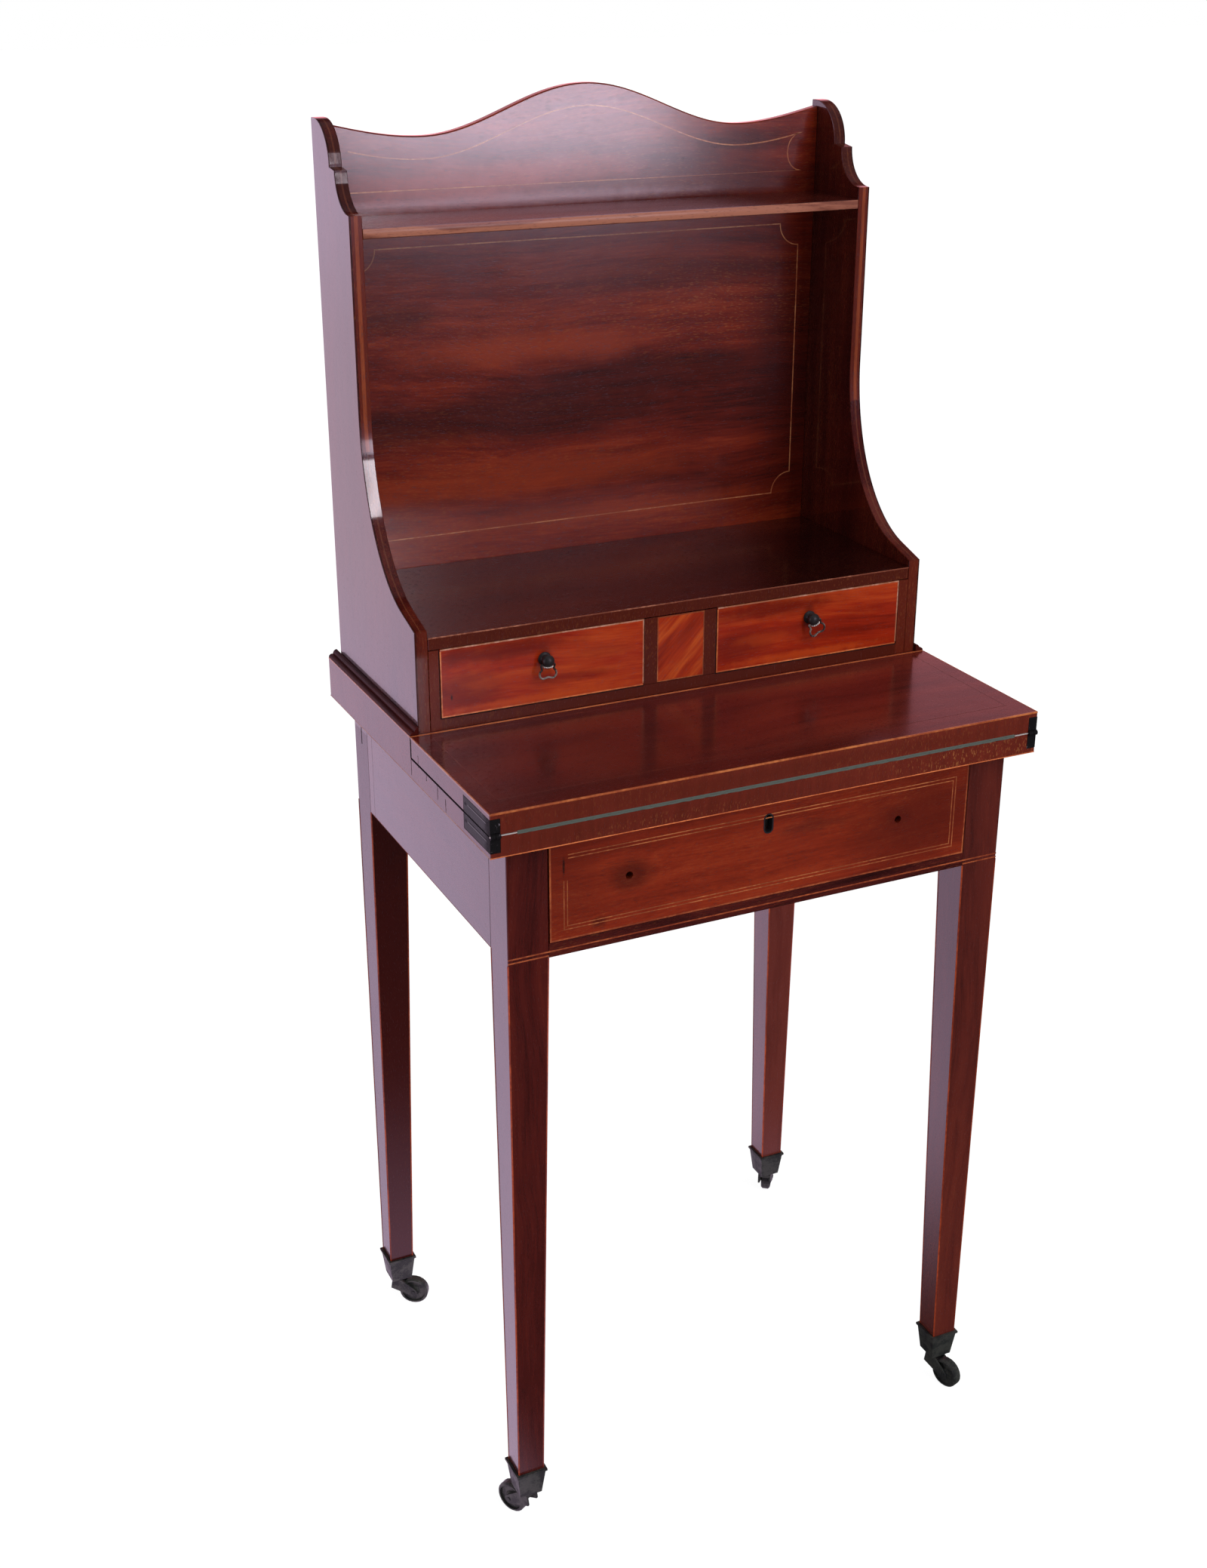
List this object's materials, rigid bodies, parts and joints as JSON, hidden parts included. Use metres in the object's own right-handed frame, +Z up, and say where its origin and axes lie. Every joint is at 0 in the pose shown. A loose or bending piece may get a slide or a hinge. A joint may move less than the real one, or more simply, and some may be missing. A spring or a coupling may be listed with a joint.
{
  "type": "etagere writing desk",
  "caption": "Small inlaid wooden writing desk on tapered legs with castors: fold-over writing flap, long drawer below, open shelved superstructure with shaped sides and small drawers above.",
  "frame": {"origin": "on the floor, under the middle of the desk's overall box", "axes": "+Z up, the drawers open towards -Y, +X to the right of someone who faces the desk"},
  "size_m": [0.54, 0.4266, 1.2965],
  "materials": {
    "show_mahogany": "french polished, inlaid with pale stringing",
    "drawer_mahogany": "french polished, inlaid with pale stringing",
    "drawer_lining": "planed, unpolished",
    "secondary_wood": "sawn, unpolished",
    "baize": "wool cloth, worn",
    "dark_brass": "blackened by age",
    "steel": "dull"
  },
  "bodies": {
    "frame": {"table_top": "show_mahogany", "front_left_leg": "show_mahogany", "front_right_leg": "show_mahogany", "back_left_leg": "show_mahogany", "back_right_leg": "show_mahogany", "left_rail": "show_mahogany", "right_rail": "show_mahogany", "back_rail": "show_mahogany", "front_rail": "show_mahogany", "left_side_panel": "show_mahogany", "right_side_panel": "show_mahogany", "back_panel": "show_mahogany", "upper_shelf": "show_mahogany", "drawer_case_tray": "show_mahogany", "drawer_case_top": "show_mahogany", "centre_divider": "show_mahogany", "left_ledge_moulding": "show_mahogany", "right_ledge_moulding": "show_mahogany", "left_drawer_runner": "secondary_wood", "right_drawer_runner": "secondary_wood", "bed_baize": "baize", "left_hinge_bed_plate": "dark_brass", "right_hinge_bed_plate": "dark_brass", "front_left_castor_cup": "dark_brass", "front_right_castor_cup": "dark_brass", "back_left_castor_cup": "dark_brass", "back_right_castor_cup": "dark_brass"},
    "flap": {"flap": "show_mahogany", "flap_baize": "baize", "left_hinge_flap_plate": "dark_brass", "right_hinge_flap_plate": "dark_brass"},
    "frieze_drawer": {"frieze_drawer_front": "drawer_mahogany", "frieze_drawer_left_side": "drawer_lining", "frieze_drawer_right_side": "drawer_lining", "frieze_drawer_back": "drawer_lining", "frieze_drawer_bottom": "drawer_lining", "drawer_lock_case": "steel"},
    "lock_bolt": {"drawer_lock_bolt": "steel"},
    "left_small_drawer": {"left_small_drawer_front": "drawer_mahogany", "left_small_drawer_left_side": "drawer_lining", "left_small_drawer_right_side": "drawer_lining", "left_small_drawer_back": "drawer_lining", "left_small_drawer_bottom": "drawer_lining", "left_handle_post": "dark_brass"},
    "right_small_drawer": {"right_small_drawer_front": "drawer_mahogany", "right_small_drawer_left_side": "drawer_lining", "right_small_drawer_right_side": "drawer_lining", "right_small_drawer_back": "drawer_lining", "right_small_drawer_bottom": "drawer_lining", "right_handle_post": "dark_brass"},
    "left_bail": {"left_handle_bail": "dark_brass"},
    "right_bail": {"right_handle_bail": "dark_brass"},
    "front_left_fork": {"front_left_castor_fork": "dark_brass"},
    "front_right_fork": {"front_right_castor_fork": "dark_brass"},
    "back_left_fork": {"back_left_castor_fork": "dark_brass"},
    "back_right_fork": {"back_right_castor_fork": "dark_brass"},
    "front_left_wheel": {"front_left_castor_wheel": "dark_brass"},
    "front_right_wheel": {"front_right_castor_wheel": "dark_brass"},
    "back_left_wheel": {"back_left_castor_wheel": "dark_brass"},
    "back_right_wheel": {"back_right_castor_wheel": "dark_brass"}
  },
  "joints": [
    {"name": "flap_hinge", "type": "hinge", "parent": "frame", "child": "flap", "pos_m": [0, -0.21079, 0.75], "axis": [1, 0, 0], "range_deg": [0, 180]},
    {"name": "frieze_drawer_slide", "type": "slide", "parent": "frame", "child": "frieze_drawer", "axis": [0, -1, 0], "range_m": [0, 0.25]},
    {"name": "lock_bolt_slide", "type": "slide", "parent": "frieze_drawer", "child": "lock_bolt", "axis": [0, 0, -1], "range_m": [-0.006, 0]},
    {"name": "left_small_drawer_slide", "type": "slide", "parent": "frame", "child": "left_small_drawer", "axis": [0, -1, 0], "range_m": [0, 0.12]},
    {"name": "right_small_drawer_slide", "type": "slide", "parent": "frame", "child": "right_small_drawer", "axis": [0, -1, 0], "range_m": [0, 0.12]},
    {"name": "left_bail_hinge", "type": "hinge", "parent": "left_small_drawer", "child": "left_bail", "pos_m": [-0.13815, -0.02929, 0.8195], "axis": [-1, 0, 0], "range_deg": [0, 95]},
    {"name": "right_bail_hinge", "type": "hinge", "parent": "right_small_drawer", "child": "right_bail", "pos_m": [0.13937, -0.02929, 0.81976], "axis": [-0.9135, 0, -0.4067], "range_deg": [0, 95]},
    {"name": "front_left_swivel", "type": "hinge", "parent": "frame", "child": "front_left_fork", "pos_m": [-0.23715, -0.18074, 0.0335], "axis": [0, 0, 1], "continuous": true},
    {"name": "front_right_swivel", "type": "hinge", "parent": "frame", "child": "front_right_fork", "pos_m": [0.23715, -0.18074, 0.0335], "axis": [0, 0, 1], "continuous": true},
    {"name": "back_left_swivel", "type": "hinge", "parent": "frame", "child": "back_left_fork", "pos_m": [-0.23715, 0.18506, 0.0335], "axis": [0, 0, 1], "continuous": true},
    {"name": "back_right_swivel", "type": "hinge", "parent": "frame", "child": "back_right_fork", "pos_m": [0.23715, 0.18506, 0.0335], "axis": [0, 0, 1], "continuous": true},
    {"name": "front_left_axle", "type": "hinge", "parent": "front_left_fork", "child": "front_left_wheel", "pos_m": [-0.24513, -0.16573, 0.01586], "axis": [-0.8829, -0.4695, 0], "continuous": true},
    {"name": "front_right_axle", "type": "hinge", "parent": "front_right_fork", "child": "front_right_wheel", "pos_m": [0.24212, -0.197, 0.01586], "axis": [0.9563, 0.2924, 0], "continuous": true},
    {"name": "back_left_axle", "type": "hinge", "parent": "back_left_fork", "child": "back_left_wheel", "pos_m": [-0.22273, 0.17605, 0.01586], "axis": [0.5299, 0.848, 0], "continuous": true},
    {"name": "back_right_axle", "type": "hinge", "parent": "back_right_fork", "child": "back_right_wheel", "pos_m": [0.24748, 0.19856, 0.01586], "axis": [-0.7944, 0.6074, 0], "continuous": true}
  ]
}
